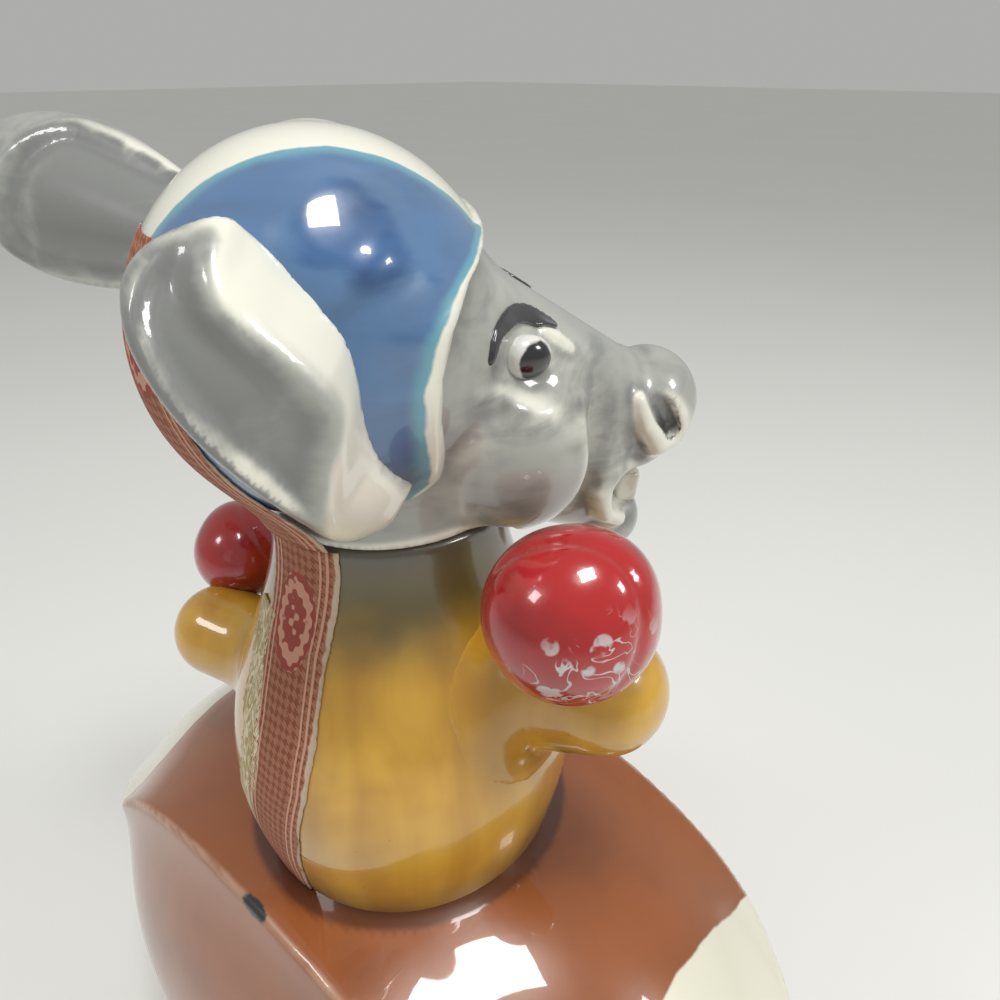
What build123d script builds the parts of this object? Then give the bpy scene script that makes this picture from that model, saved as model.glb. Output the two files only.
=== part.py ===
from build123d import *
from math import acos, cos, degrees, radians, sin
import os

# A figural ceramic decanter: a grey donkey in a football helmet and a yellow jersey, rising out of a
# brown football. The football and the torso are one hollow bottle. The helmeted head is its stopper,
# with a cork cemented into it. Millimetres, +Z up, origin under the middle of the football, the
# football's long axis near X, and the figure's chest towards -Y.

# Slip-cast ware
casting_wall = 5.0
seat_gap = 0.3
cork_clearance = 0.05

# Football base
ball_length = 204.0
ball_panel_radius = 58.5
ball_ridge_radius = 68.0
ball_foot_radius = 62.0
ball_axis_height = 56.0
ball_turn_angle = 3.0
tip_length = 6.0
seam_offset = 43.0
seam_limit_share = 0.82
ball_outline_shares = [(0.97, 0.245), (0.88, 0.494), (0.72, 0.725), (0.5, 0.895), (0.25, 0.98), (0.0, 1.0)]
panel_rise_shares = [(0.0, 1.0), (0.25, 0.34), (0.55, 0.08), (1.0, 0.0)]

# Torso in its jersey, from the football up to the neck rim
torso_width = 75.0
torso_sink = 9.5
torso_foot_height = ball_axis_height + ball_panel_radius - torso_sink
neck_rim_height = 188.0
torso_outline_shares = [
    (0.0, 0.85), (0.12, 0.92), (0.24, 0.97), (0.4, 0.965),
    (0.58, 0.862), (0.76, 0.698), (0.9, 0.607), (1.0, 0.587),
]
torso_opening_radius = 26.0
neck_bore_length = 19.0

# Cork
cork_diameter = 22.0
cork_length = 34.0
cork_in_neck = 16.0
cork_chamfer = 1.2

# Arms: sleeve elbows and gloves, right (-X) arm raised, left arm lower. Places are from the torso's foot
right_elbow = (-46.5, -8.0, 58.0)
right_shoulder = (-14.0, -4.0, 41.0)
right_sleeve_radius = 11.5
right_glove_centre = (-45.7, 1.4, 79.0)
right_glove_radius = 14.3
left_elbow = (48.0, 17.0, 33.0)
left_shoulder = (14.0, 5.0, 29.0)
left_sleeve_radius = 11.0
left_glove_centre = (54.9, 4.8, 47.0)
left_glove_radius = 12.0
sleeve_root_share = 0.9

# Head: turned towards the raised glove and tipped that way. Its centre is placed from the neck rim
head_turn_angle = 29.0
head_tip_angle = 12.0
head_place = (0.0, 10.0, 31.0)

# Places on the head are given as forward, towards the far (left) side, and up
helmet_radius = 29.0
helmet_half_height = 30.5
helmet_wall = 2.2
helmet_lift = 2.0
face_opening_radius = 28.5
face_opening_centre = (38.5, 0.0, -7.0)
helmet_hem_place = (-4.0, 0.0, -22.5)
helmet_hem_angle = 19.0
luting_gap = 0.05
snout_start = (6.0, 0.0, -1.5)
snout_end = (62.5, 0.0, -20.5)
snout_radius = 22.0
snout_outline_shares = [
    (0.0, 0.98), (0.18, 0.95), (0.33, 0.82), (0.45, 0.72), (0.6, 0.61), (0.78, 0.48), (0.93, 0.34),
]
jaw_start = (6.0, 0.0, -10.0)
jaw_end = (60.5, 0.0, -41.5)
jaw_radius = 19.5
jaw_outline_shares = [(0.0, 0.95), (0.25, 0.97), (0.45, 0.84), (0.65, 0.68), (0.85, 0.5)]
cheek_place = (29.0, 10.5, -18.0)
cheek_radius = 13.8
nose_place = (60.0, 0.0, -18.5)
nose_radius = 10.5
nostril_place = (59.5, 10.0, -15.5)
nostril_radius = 3.0
nostril_half_height = 5.5
lip_place = (58.0, 0.0, -29.5)
lip_radius = 8.8
lip_half_height = 5.5
chin_place = (54.5, 0.0, -46.5)
chin_radius = 8.7
chin_half_height = 7.0
mouth_place = (60.5, 0.0, -38.2)
mouth_radius = 3.7
neck_room_margin = 5.0
neck_stub_top_radius = 20.0
neck_stub_length = 20.0
head_hollow_radius = 21.5
cork_socket_length = 11.0

# Right ear: folded down against the helmet. Its outline is drawn on the side of the head, forward and up
right_ear_swell_place = (-14.0, -5.0, 2.0)
right_ear_swell_radius = 30.0
right_ear_swell_half_width = 33.0
right_ear_root_place = (2.0, -18.0, -7.0)
right_ear_root_radius = 13.5
right_ear_thickness = 8.0
right_ear_inner_side = -12.0
right_ear_height = 47.0
right_ear_outline_shares = [
    (-0.1, 0.63), (-0.22, 0.65), (-0.34, 0.625), (-0.43, 0.587), (-0.515, 0.477), (-0.515, 0.353),
    (-0.42, 0.196), (-0.32, 0.055), (-0.196, -0.132), (-0.106, -0.277), (-0.004, -0.366), (0.087, -0.357),
    (0.2, -0.25), (0.077, -0.043), (0.049, 0.106), (0.038, 0.326), (-0.094, 0.466), (-0.13, 0.519),
]
right_ear_cup_place = (-12.1, -42.0, 14.3)
right_ear_cup_run_shares = (0.45, -0.3, -0.84)
right_ear_cup_radius = 11.0
right_ear_cup_half_length = 22.0

# Left ear: a shallow cupped leaf that stands out from the helmet
left_ear_root = (-12.0, 22.0, 4.5)
left_ear_tip = (-60.0, 77.0, 6.5)
left_ear_width = 31.0
left_ear_thickness = 16.5
left_ear_facing_shares = (-0.5, -0.5, 0.7)
left_ear_outline_shares = [
    (0.0, 0.62), (0.2, 0.74), (0.42, 0.94), (0.6, 1.0), (0.8, 0.86), (0.93, 0.56), (1.0, 0.2),
]
left_ear_cup_length_share = 0.4
left_ear_cup_width_share = 0.72
left_ear_cup_depth = 2.8

# Applied details
eye_place = (29.5, 13.2, 3.0)
eye_length = 7.4
eye_height = 8.6
brow_radius = 6.0
brow_thickness = 2.6
brow_front_share = 0.7
eye_lean_angle = 42.0
teeth_width = 12.0
teeth_length = 6.0
teeth_height = 8.0
teeth_set_back = 2.7
tooth_round = 1.6

# Paper tax strip, slit where the head lifts off the neck
strip_width = 16.0
strip_thickness = 0.3
strip_glue_gap = 0.05
strip_offset = -4.0
strip_top_rise = 19.0
strip_hem_drop = 23.0


def place_on_head(point):
    """A world point from forward, far-side and up distances on the head."""
    return head_plane.from_local_coords(Vector(*point))


def place_on_torso(point):
    """A world point from a place over the middle of the torso's foot."""
    return tuple(Vector(*point) + Vector(0, 0, torso_foot_height))


def leaned(plane, direction, angle):
    """The plane, turned about its own origin and the given direction."""
    axis = Axis((0, 0, 0), direction)
    return Plane(
        origin=plane.origin, x_dir=plane.x_dir.rotate(axis, angle), z_dir=plane.z_dir.rotate(axis, angle)
    )


def along(start, end):
    """A plane whose X axis runs from start to end."""
    run = Vector(*end) - Vector(*start)
    return Plane(origin=start, x_dir=run, z_dir=run.cross(Vector(0, 0, 1)))


def turned(start, end, radius, outline_shares):
    """A solid of revolution from start to a rounded tip at end."""
    plane = along(start, end)
    length = (Vector(*end) - Vector(*start)).length
    stations = [(length * place, radius * share) for place, share in outline_shares]
    with BuildPart() as body:
        with BuildSketch(plane):
            with BuildLine():
                side = Spline(*stations, (length, 0), tangents=[(1, 0), (0, -1)])
                Polyline(side @ 1, (stations[0][0], 0), side @ 0)
            make_face()
        revolve(axis=Axis(plane.origin, plane.x_dir))
    return body.part


def ball(centre, radius):
    """A plain sphere about a world point."""
    with BuildPart(Plane(origin=centre)) as body:
        Sphere(radius)
    return body.part


def egg(plane, radius, half_height):
    """A spheroid about the plane's Z axis."""
    profile_plane = Plane(origin=plane.origin, x_dir=plane.x_dir, z_dir=-plane.y_dir)
    with BuildPart() as body:
        with BuildSketch(profile_plane):
            Ellipse(radius, half_height)
            with Locations((-radius, 0)):
                Rectangle(radius * 2, half_height * 2, mode=Mode.SUBTRACT)
        revolve(axis=Axis(plane.origin, plane.z_dir))
    return body.part


def panel(start_angle, end_angle, ridge_radius, middle_radius):
    """Points across one panel of the football, which sags between its two raised seams."""
    half_angle = (end_angle - start_angle) / 2
    stations = [(start_angle + half_angle * place, rise) for place, rise in panel_rise_shares]
    stations += [(end_angle - half_angle * place, rise) for place, rise in reversed(panel_rise_shares[:-1])]
    points = []
    for angle, rise in stations:
        radius = middle_radius + (ridge_radius - middle_radius) * rise
        points.append((radius * cos(radians(angle)), radius * sin(radians(angle))))
    return points


def football(inset):
    """The four-panelled football, drawn in by inset on every side."""
    half_length = ball_length / 2 - tip_length * inset / casting_wall
    outline = [(-place, share) for place, share in ball_outline_shares]
    outline += [(place, share) for place, share in reversed(ball_outline_shares[:-1])]
    with BuildPart() as body:
        for place, share in outline:
            full_ridge = ball_ridge_radius * share
            seam_angle = degrees(acos(min(seam_offset / full_ridge, seam_limit_share)))
            ridge = full_ridge - inset
            side = ball_panel_radius * share - inset
            foot = ball_foot_radius * share - inset
            with BuildSketch(Plane.YZ.offset(place * half_length)):
                with BuildLine():
                    Spline(*panel(seam_angle, 180 - seam_angle, ridge, side))
                    Spline(*panel(180 - seam_angle, 180 + seam_angle, ridge, side))
                    Spline(*panel(180 + seam_angle, 360 - seam_angle, ridge, foot))
                    Spline(*panel(-seam_angle, seam_angle, ridge, side))
                make_face()
        loft()
    return body.part.moved(Location((0, 0, ball_axis_height), (0, 0, ball_turn_angle)))


def torso_form(outset):
    """The bell of the jersey and neck, grown by outset."""
    height = neck_rim_height - torso_foot_height
    half_width = torso_width / 2
    stations = [(half_width * share + outset, height * place) for place, share in torso_outline_shares]
    with BuildPart() as body:
        with BuildSketch(Plane.XZ):
            with BuildLine():
                side = Spline(*stations)
                Polyline(side @ 1, (0, height), (0, 0), side @ 0)
            make_face()
        revolve(axis=Axis.Z)
    return body.part.moved(Location((0, 0, torso_foot_height)))


def block(corner_a, corner_b):
    """A box between two world corners."""
    size = Vector(*corner_b) - Vector(*corner_a)
    with BuildPart(Plane(origin=corner_a)) as body:
        Box(size.X, size.Y, size.Z, align=(Align.MIN, Align.MIN, Align.MIN))
    return body.part


def column(radius, low, high):
    """An upright cylinder on the neck's axis."""
    with BuildPart(Plane.XY.offset(low)) as body:
        Cylinder(radius, high - low, align=(Align.CENTER, Align.CENTER, Align.MIN))
    return body.part


def upright_plane(place):
    """A plane level with the head, facing up."""
    return Plane(origin=place_on_head(place), x_dir=head_plane.x_dir, z_dir=head_plane.z_dir)


def sideways_plane(place):
    """A plane upright on the head, facing its far side."""
    return Plane(origin=place_on_head(place), x_dir=head_plane.x_dir, z_dir=head_plane.y_dir)


def leaf(root, tip, width, thickness, facing_shares):
    """A cupped leaf from root to tip, hollowed on the side that it faces."""
    start = place_on_head(root)
    end = place_on_head(tip)
    run = end - start
    across = run.cross(place_on_head(facing_shares) - Vector(*head_centre))
    face = across.cross(run).normalized()
    with BuildPart() as body:
        for place, share in left_ear_outline_shares:
            with BuildSketch(Plane(origin=start + run * place, x_dir=across, z_dir=run)):
                Ellipse(width / 2 * share, thickness / 2 * share)
        loft()
    cup_radius = width / 2 * left_ear_cup_width_share
    cup_centre = start + run * 0.5 + face * (thickness / 2 + cup_radius - left_ear_cup_depth)
    cup_plane = Plane(origin=cup_centre, x_dir=across, z_dir=run)
    cup = egg(cup_plane, cup_radius, run.length * left_ear_cup_length_share)
    with BuildPart() as cupped:
        add(body.part)
        add(cup, mode=Mode.SUBTRACT)
    return cupped.part


head_centre = tuple(Vector(*head_place) + Vector(0, 0, neck_rim_height))
upright = Plane(origin=head_centre, x_dir=(0, -1, 0), z_dir=(0, 0, 1))
turned_plane = leaned(upright, upright.z_dir, -head_turn_angle)
head_plane = leaned(turned_plane, turned_plane.x_dir, head_tip_angle)
helmet_plane = upright_plane((0, 0, helmet_lift))
bore_radius = cork_diameter / 2 + cork_clearance
head_seat_height = neck_rim_height + seat_gap
neck_radius = torso_width / 2 * torso_outline_shares[-1][1]

# Football base: a thin-walled ball with a flat foot and a round opening up into the torso
ball_outside = football(0)
with BuildPart() as football_base:
    add(ball_outside)
    with BuildPart(mode=Mode.PRIVATE) as ball_hollow:
        add(football(casting_wall))
        add(column(ball_length, -ball_foot_radius, casting_wall), mode=Mode.SUBTRACT)
    add(ball_hollow.part, mode=Mode.SUBTRACT)
    add(column(torso_opening_radius, ball_axis_height, neck_rim_height), mode=Mode.SUBTRACT)
    add(column(ball_length, -ball_foot_radius, 0), mode=Mode.SUBTRACT)
football_base.part.label = "football_base"

# Torso: a hollow bell on the football, narrowing to the bore that grips the cork
bore_foot = neck_rim_height - neck_bore_length
with BuildPart() as torso:
    add(torso_form(0))
    with BuildPart(mode=Mode.PRIVATE) as torso_hollow:
        add(torso_form(-casting_wall))
        add(column(torso_width, bore_foot, head_centre[2]), mode=Mode.SUBTRACT)
    add(torso_hollow.part, mode=Mode.SUBTRACT)
    add(column(bore_radius, ball_axis_height, neck_rim_height), mode=Mode.SUBTRACT)
    add(ball_outside, mode=Mode.SUBTRACT)
torso.part.label = "torso"

# Gloves and sleeves
sleeve_outline_shares = [(0.0, sleeve_root_share), (0.35, 0.96), (0.6, 1.0), (0.82, 0.78), (0.94, 0.48)]


def sleeve_form(shoulder, elbow, radius):
    """A rounded sleeve from inside the torso to just past the elbow."""
    run = Vector(*elbow) - Vector(*shoulder)
    end = Vector(*elbow) + run.normalized() * radius
    return turned(place_on_torso(shoulder), place_on_torso(end), radius, sleeve_outline_shares)


with BuildPart() as right_glove:
    add(ball(place_on_torso(right_glove_centre), right_glove_radius))
right_glove.part.label = "right_glove"
with BuildPart() as left_glove:
    add(ball(place_on_torso(left_glove_centre), left_glove_radius))
left_glove.part.label = "left_glove"

with BuildPart() as right_sleeve:
    add(sleeve_form(right_shoulder, right_elbow, right_sleeve_radius))
    add(torso_form(0), mode=Mode.SUBTRACT)
    add(right_glove.part, mode=Mode.SUBTRACT)
right_sleeve.part.label = "right_sleeve"
with BuildPart() as left_sleeve:
    add(sleeve_form(left_shoulder, left_elbow, left_sleeve_radius))
    add(torso_form(0), mode=Mode.SUBTRACT)
    add(left_glove.part, mode=Mode.SUBTRACT)
    add(ball_outside, mode=Mode.SUBTRACT)
left_sleeve.part.label = "left_sleeve"

# Helmet: a shell with a round face opening, level at its hem
with BuildPart() as helmet:
    add(egg(helmet_plane, helmet_radius, helmet_half_height))
    add(egg(helmet_plane, helmet_radius - helmet_wall, helmet_half_height - helmet_wall), mode=Mode.SUBTRACT)
    with BuildPart(sideways_plane(face_opening_centre), mode=Mode.PRIVATE) as face_opening:
        Cylinder(face_opening_radius, helmet_radius * 4)
    add(face_opening.part, mode=Mode.SUBTRACT)
    hem_plane = leaned(upright_plane(helmet_hem_place), head_plane.y_dir, -helmet_hem_angle)
    with BuildPart(hem_plane, mode=Mode.PRIVATE) as under_hem:
        Cylinder(helmet_radius * 2, helmet_radius * 2, align=(Align.CENTER, Align.CENTER, Align.MAX))
    add(under_hem.part, mode=Mode.SUBTRACT)
helmet.part.label = "helmet"

# Head: skull, snout, jaw, cheeks, nose, lip and chin, hollow, open below for the cork
skull_gap = helmet_wall + luting_gap
with BuildPart() as mouth:
    with BuildSketch(sideways_plane(mouth_place)):
        Circle(mouth_radius)
    extrude(amount=jaw_radius, both=True)
with BuildPart() as head:
    add(egg(helmet_plane, helmet_radius - skull_gap, helmet_half_height - skull_gap))
    add(turned(place_on_head(snout_start), place_on_head(snout_end), snout_radius, snout_outline_shares))
    add(turned(place_on_head(jaw_start), place_on_head(jaw_end), jaw_radius, jaw_outline_shares))
    for side in (-1, 1):
        add(ball(place_on_head((cheek_place[0], side * cheek_place[1], cheek_place[2])), cheek_radius))
    add(ball(place_on_head(nose_place), nose_radius))
    add(egg(upright_plane(lip_place), lip_radius, lip_half_height))
    add(egg(upright_plane(chin_place), chin_radius, chin_half_height))
    for side in (-1, 1):
        nostril = (nostril_place[0], side * nostril_place[1], nostril_place[2])
        add(egg(upright_plane(nostril), nostril_radius, nostril_half_height), mode=Mode.SUBTRACT)
    add(mouth.part, mode=Mode.SUBTRACT)
    with BuildPart(Plane.XY.offset(head_seat_height), mode=Mode.PRIVATE) as neck_stub:
        Cone(neck_radius, neck_stub_top_radius, neck_stub_length, align=(Align.CENTER, Align.CENTER, Align.MIN))
    add(neck_stub.part)
    with BuildPart(mode=Mode.PRIVATE) as neck_room:
        add(column(neck_radius + neck_room_margin, torso_foot_height, head_seat_height))
    add(neck_room.part, mode=Mode.SUBTRACT)
    with BuildPart(mode=Mode.PRIVATE) as hollow:
        add(ball(tuple(helmet_plane.origin), head_hollow_radius))
        add(column(torso_width, torso_foot_height, head_seat_height + cork_socket_length), mode=Mode.SUBTRACT)
    add(hollow.part, mode=Mode.SUBTRACT)
    add(column(cork_diameter / 2, torso_foot_height, head_centre[2]), mode=Mode.SUBTRACT)
    add(helmet.part, mode=Mode.SUBTRACT)
head.part.label = "head"

# Cork: one cylinder, its upper half cemented into the head
cork_foot = neck_rim_height - cork_in_neck
with BuildPart() as cork:
    add(column(cork_diameter / 2, cork_foot, cork_foot + cork_length))
    chamfer(cork.edges().filter_by(GeomType.CIRCLE), cork_chamfer)
cork.part.label = "cork"

# Paper strip, glued down the back of the helmet and of the torso
strip_left = strip_offset - strip_width / 2
strip_right = strip_offset + strip_width / 2
with BuildPart() as strip_on_torso:
    add(torso_form(strip_glue_gap + strip_thickness))
    add(torso_form(strip_glue_gap), mode=Mode.SUBTRACT)
    add(ball_outside, mode=Mode.SUBTRACT)
    add(block(
        (strip_left, 0, torso_foot_height), (strip_right, torso_width, neck_rim_height - strip_thickness)
    ), mode=Mode.INTERSECT)
strip_on_torso.part.label = "strip_on_torso"
with BuildPart() as strip_on_helmet:
    strip_lift = strip_glue_gap + strip_thickness
    add(egg(helmet_plane, helmet_radius + strip_lift, helmet_half_height + strip_lift))
    add(egg(helmet_plane, helmet_radius + strip_glue_gap, helmet_half_height + strip_glue_gap), mode=Mode.SUBTRACT)
    add(block(
        (strip_left, head_centre[1], head_centre[2] - strip_hem_drop),
        (strip_right, torso_width, head_centre[2] + strip_top_rise)
    ), mode=Mode.INTERSECT)
strip_on_helmet.part.label = "strip_on_helmet"

# Ears, luted to the helmet
ear_side_plane = Plane(
    origin=place_on_head((0, right_ear_inner_side, 0)), x_dir=head_plane.x_dir, z_dir=-head_plane.y_dir
)
ear_points = [(right_ear_height * forward, right_ear_height * up) for forward, up in right_ear_outline_shares]
with BuildPart() as ear_prism:
    with BuildSketch(ear_side_plane):
        with BuildLine():
            Spline(*ear_points, periodic=True)
        make_face()
    extrude(amount=right_ear_swell_half_width)
with BuildPart() as right_ear:
    ear_swell_plane = sideways_plane(right_ear_swell_place)
    add(egg(ear_swell_plane, right_ear_swell_radius, right_ear_swell_half_width))
    add(ball(place_on_head(right_ear_root_place), right_ear_root_radius))
    add(ear_prism.part, mode=Mode.INTERSECT)
    ear_back_radius = right_ear_swell_radius - right_ear_thickness
    ear_back_half_width = right_ear_swell_half_width - right_ear_thickness
    add(egg(ear_swell_plane, ear_back_radius, ear_back_half_width), mode=Mode.SUBTRACT)
    cup_run = place_on_head(right_ear_cup_run_shares) - Vector(*head_centre)
    cup_across = cup_run.cross(head_plane.y_dir)
    cup_plane = Plane(origin=place_on_head(right_ear_cup_place), x_dir=cup_across, z_dir=cup_run)
    add(egg(cup_plane, right_ear_cup_radius, right_ear_cup_half_length), mode=Mode.SUBTRACT)
    add(egg(helmet_plane, helmet_radius, helmet_half_height), mode=Mode.SUBTRACT)
    add(strip_on_helmet.part, mode=Mode.SUBTRACT)
right_ear.part.label = "right_ear"
with BuildPart() as left_ear:
    add(leaf(left_ear_root, left_ear_tip, left_ear_width, left_ear_thickness, left_ear_facing_shares))
    add(egg(helmet_plane, helmet_radius, helmet_half_height), mode=Mode.SUBTRACT)
left_ear.part.label = "left_ear"

# Teeth, between the lips
with BuildPart() as teeth:
    teeth_place = (mouth_place[0] - teeth_set_back, mouth_place[1], mouth_place[2])
    with BuildPart(upright_plane(teeth_place), mode=Mode.PRIVATE) as teeth_block:
        Box(teeth_length, teeth_width, teeth_height)
        fillet(teeth_block.edges(), tooth_round)
    add(teeth_block.part)
    add(head.part, mode=Mode.SUBTRACT)
teeth.part.label = "teeth"

# Eyes and brows, one of each on both sides of the snout
details = {}
for side_name, side in (("right", -1), ("left", 1)):
    eye_plane = upright_plane((eye_place[0], side * eye_place[1], eye_place[2]))
    with BuildPart() as eye:
        add(egg(eye_plane, eye_length / 2, eye_height / 2))
        add(head.part, mode=Mode.SUBTRACT)
    details[side_name + "_eye"] = eye.part
    sideways = Plane(origin=eye_plane.origin, x_dir=head_plane.x_dir, z_dir=head_plane.y_dir * side)
    brow_plane = leaned(sideways, head_plane.x_dir, eye_lean_angle * side)
    brow_rise = -side * brow_radius
    with BuildPart() as brow:
        with BuildLine(brow_plane) as brow_path:
            ThreePointArc(
                (-brow_radius, 0), (0, brow_rise), (brow_radius * brow_front_share, brow_rise * brow_front_share)
            )
        with BuildSketch(Plane(origin=brow_path.line @ 0, z_dir=brow_path.line % 0)):
            Circle(brow_thickness / 2)
        sweep(path=brow_path.line)
        add(head.part, mode=Mode.SUBTRACT)
        add(details[side_name + "_eye"], mode=Mode.SUBTRACT)
    details[side_name + "_brow"] = brow.part

os.makedirs("parts", exist_ok=True)
pieces = [
    football_base, torso, right_sleeve, left_sleeve, right_glove, left_glove,
    head, helmet, right_ear, left_ear, teeth, cork, strip_on_torso, strip_on_helmet,
]
for piece in pieces:
    export_step(piece.part, f"parts/{piece.part.label}.step")
for name, detail in details.items():
    detail.label = name
    export_step(detail, f"parts/{name}.step")
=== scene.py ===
# %% [markdown]
# # A glazed figural decanter
# The object is slip-cast earthenware: a donkey in a football helmet and a yellow jersey rises out of a
# brown ball. Everything here is in one frame: metres for Blender, millimetres inside the modelling
# helpers, +Z up, the origin under the middle of the ball and the figure's chest towards -Y.
# The frame holds the measured bodies, and each clay piece below stands for one of its nodes.

# %% Load the frame
import math

import bmesh
import bpy
import numpy as np
import openvdb
from mathutils import Matrix, Vector


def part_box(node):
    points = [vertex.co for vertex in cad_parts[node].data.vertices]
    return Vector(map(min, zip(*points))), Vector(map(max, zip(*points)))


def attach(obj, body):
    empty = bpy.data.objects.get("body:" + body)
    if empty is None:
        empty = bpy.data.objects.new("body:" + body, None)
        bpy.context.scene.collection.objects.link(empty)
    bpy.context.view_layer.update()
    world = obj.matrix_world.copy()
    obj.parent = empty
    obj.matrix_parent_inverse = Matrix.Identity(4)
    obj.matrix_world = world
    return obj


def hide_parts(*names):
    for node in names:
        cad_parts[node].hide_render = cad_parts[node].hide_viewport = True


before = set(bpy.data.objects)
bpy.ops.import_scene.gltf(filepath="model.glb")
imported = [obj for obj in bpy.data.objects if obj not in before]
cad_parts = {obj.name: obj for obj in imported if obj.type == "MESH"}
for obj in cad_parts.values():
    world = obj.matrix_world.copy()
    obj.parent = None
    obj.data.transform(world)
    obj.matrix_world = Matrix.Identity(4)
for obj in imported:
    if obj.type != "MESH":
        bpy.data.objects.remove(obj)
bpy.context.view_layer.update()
MM = 0.001

# %% [markdown]
# A slip casting has no straight edges and few flat faces, so a box or a revolved profile never looks like
# it. Clay is modelled here as a field: a function that is negative inside the piece and zero on its
# surface. Soft unions pull two forms together with a fillet, as a thumb does on a clay joint, and a level
# set turns the field into a mesh. Each point is then moved onto the exact surface, because gloss shows
# every ripple that a coarse grid leaves.

# %% Field primitives, in millimetres
def length(vectors):
    """The length of each vector in an array."""
    return np.sqrt((vectors ** 2).sum(axis=-1))


def egg(points, centre, radii):
    """An ellipsoid's field, close to a true distance near its surface."""
    radii = np.array(radii, float)
    offset = (points - np.array(centre, float)) / radii
    reach = length(offset)
    return reach * (reach - 1) / np.maximum(length(offset / radii), 1e-6)


def limb(points, start, end, start_radius, end_radius):
    """A tapered capsule between two places."""
    start, end = np.array(start, float), np.array(end, float)
    run = end - start
    share = np.clip(((points - start) @ run) / (run @ run), 0, 1)
    nearest = start + share[..., None] * run
    return length(points - nearest) - (start_radius + (end_radius - start_radius) * share)


def chain(points, places, radii):
    """Capsules in a row, for a crease or a raised ridge."""
    spans = zip(places[:-1], places[1:], radii[:-1], radii[1:])
    return np.minimum.reduce([limb(points, a, b, ra, rb) for a, b, ra, rb in spans])


def merge(a, b, blend):
    """A union whose joint is filled by a fillet about as wide as blend."""
    share = np.clip(0.5 + 0.5 * (b - a) / blend, 0, 1)
    return b + (a - b) * share - blend * share * (1 - share)


def carve(a, b, blend):
    """Form a with form b pressed out of it, the rim rounded over."""
    return -merge(-a, b, blend)


def overlap(a, b, blend):
    """What forms a and b share, with a rounded edge."""
    return -merge(-a, -b, blend)


def ease(low, high, value):
    """0 below low, 1 above high, smooth between."""
    share = np.clip((value - low) / (high - low), 0, 1)
    return share * share * (3 - 2 * share)


def hump(value, width):
    """1 where value is 0, fading to 0 over width."""
    return np.exp(-(value / width) ** 2)


def trail(places, line):
    """Distance on the side view, forward and up, to a line drawn there."""
    flat = places[..., (0, 2)]
    return np.minimum.reduce([limb(flat, a, b, 0, 0) for a, b in zip(line[:-1], line[1:])])


def rounded(line, closed=False, rounds=2):
    """A drawn line with its corners cut into a smooth curve."""
    line = np.array(line, float)
    for _ in range(rounds):
        after = np.roll(line, -1, axis=0) if closed else line[1:]
        before = line if closed else line[:-1]
        cut = np.stack((before * 0.75 + after * 0.25, before * 0.25 + after * 0.75), axis=1)
        cut = cut.reshape(-1, line.shape[1])
        line = cut if closed else np.concatenate((line[:1], cut, line[-1:]))
    return line


def slope_of(field, points, step=0.05):
    """The gradient of a field by central differences."""
    steps = np.eye(3) * step
    return np.stack([(field(points + s) - field(points - s)) / (2 * step) for s in steps], axis=-1)


# %% From field to mesh
def clay(name, box, field, cell, settle=4):
    """A closed mesh object where the field is zero, with every point settled on the surface."""
    low = np.array(box[0], float)
    counts = np.ceil((np.array(box[1]) - low) / cell).astype(int) + 1
    axes = [low[i] + cell * np.arange(counts[i]) for i in range(3)]
    grid = np.stack(np.meshgrid(*axes, indexing="ij"), axis=-1)
    values = np.clip(field(grid), -3 * cell, 3 * cell).astype(np.float32)
    volume = openvdb.FloatGrid(3 * cell)
    volume.copyFromArray(values)
    points, quads = volume.convertToQuads()
    points = low + points.astype(float) * cell
    for _ in range(settle):
        slope = slope_of(field, points)
        step = field(points) / np.maximum((slope ** 2).sum(axis=-1), 0.05)
        move = slope * step[:, None]
        reach = np.maximum(length(move), 1e-9)[:, None]
        points = points - move * np.minimum(1, 0.4 * cell / reach)
    mesh = bpy.data.meshes.new(name)
    mesh.from_pydata((points * MM).tolist(), [], quads.tolist())
    mesh.update()
    piece = bpy.data.objects.new(name, mesh)
    bpy.context.scene.collection.objects.link(piece)
    tidy(piece)
    print(name, "faces", len(piece.data.polygons), "points", len(piece.data.vertices))
    return piece


def tidy(piece):
    """Merge doubles, point the faces outwards and shade them smooth."""
    shape = bmesh.new()
    shape.from_mesh(piece.data)
    bmesh.ops.remove_doubles(shape, verts=shape.verts, dist=1e-6)
    bmesh.ops.recalc_face_normals(shape, faces=shape.faces)
    shape.to_mesh(piece.data)
    shape.free()
    piece.data.polygons.foreach_set("use_smooth", [True] * len(piece.data.polygons))
    piece.data.update()


def places_of(piece):
    """A piece's points in millimetres."""
    flat = np.empty(len(piece.data.vertices) * 3)
    piece.data.vertices.foreach_get("co", flat)
    return flat.reshape(-1, 3) / MM


def paint(piece, **layers):
    """Store one number per point under each name, for the glazes to read."""
    for name, values in layers.items():
        layer = piece.data.attributes.new(name, "FLOAT", "POINT")
        layer.data.foreach_set("value", np.asarray(values, dtype=np.float32))


def box_of(node, margin=3.0):
    """A node's corners in millimetres, with room around them."""
    low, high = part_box(node)
    return np.array(low) / MM - margin, np.array(high) / MM + margin


# %% [markdown]
# The camera stands close behind the figure's right shoulder and looks down at about 29 degrees, as a person
# does who photographs a bottle on a table. It is set as a place, a direction and a focal length.

# %% Camera
SENSOR = 36.0
FOCAL_LENGTH = 28.26
CAMERA_PLACE = (-105.6, 79.1, 258.7)
CAMERA_HEADING = (0.606, -0.628, -0.488)

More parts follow.
